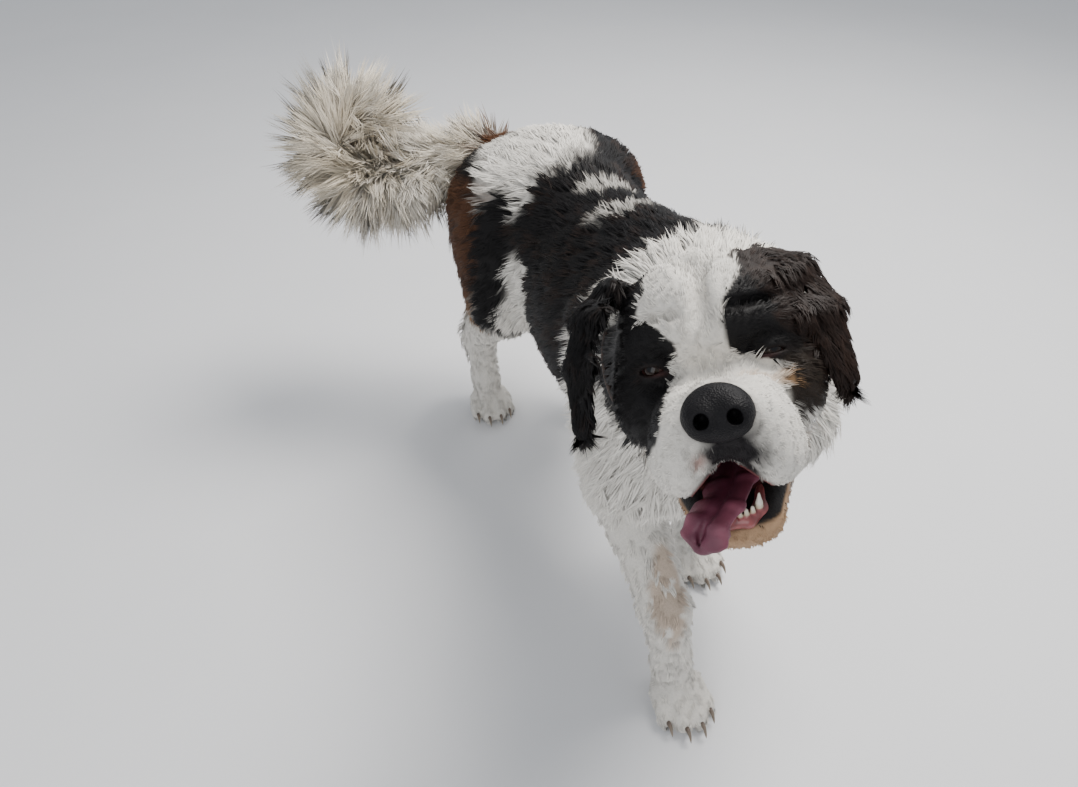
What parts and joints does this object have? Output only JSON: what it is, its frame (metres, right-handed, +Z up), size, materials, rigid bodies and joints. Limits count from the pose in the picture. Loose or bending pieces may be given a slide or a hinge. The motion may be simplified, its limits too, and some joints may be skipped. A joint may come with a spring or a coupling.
{
  "type": "saint bernard dog",
  "caption": "Life-size walking saint bernard with a bushy tail swept to its right, head turned up to its right, mouth open and tongue out, wearing a plain collar.",
  "frame": {"origin": "on the floor, at the middle of the dog's bounding box", "axes": "-Y is forward along the trunk, +X is the dog's left, +Z is up"},
  "size_m": [0.7191, 1.4707, 0.9459],
  "materials": {
    "coat_white": "long white hair",
    "coat_black": "long black hair with brown tints",
    "coat_tan": "short tan hair on the chin",
    "coat_cream": "long cream hair",
    "nose": "moist pebbled skin",
    "tongue": "wet skin",
    "teeth": "glossy enamel",
    "eye": "wet dark eye",
    "strap": "dark strap",
    "steel": "worn steel"
  },
  "bodies": {
    "root": {"head": "coat_white", "lower_jaw": "coat_tan", "nose": "nose", "tongue": "tongue", "teeth_lower": "teeth", "eye_right": "eye", "eye_left": "eye", "ear_right": "coat_black", "ear_left": "coat_black", "collar": "strap", "collar_ring": "steel", "neck": "coat_white", "chest": "coat_black", "hindquarters": "coat_black", "tail_root": "coat_cream", "tail_plume": "coat_cream", "fore_leg_right": "coat_white", "fore_paw_right": "coat_white", "fore_leg_left": "coat_white", "fore_paw_left": "coat_white", "hind_leg_right": "coat_white", "hind_paw_right": "coat_white", "hind_leg_left": "coat_white", "hind_paw_left": "coat_white"}
  },
  "joints": []
}
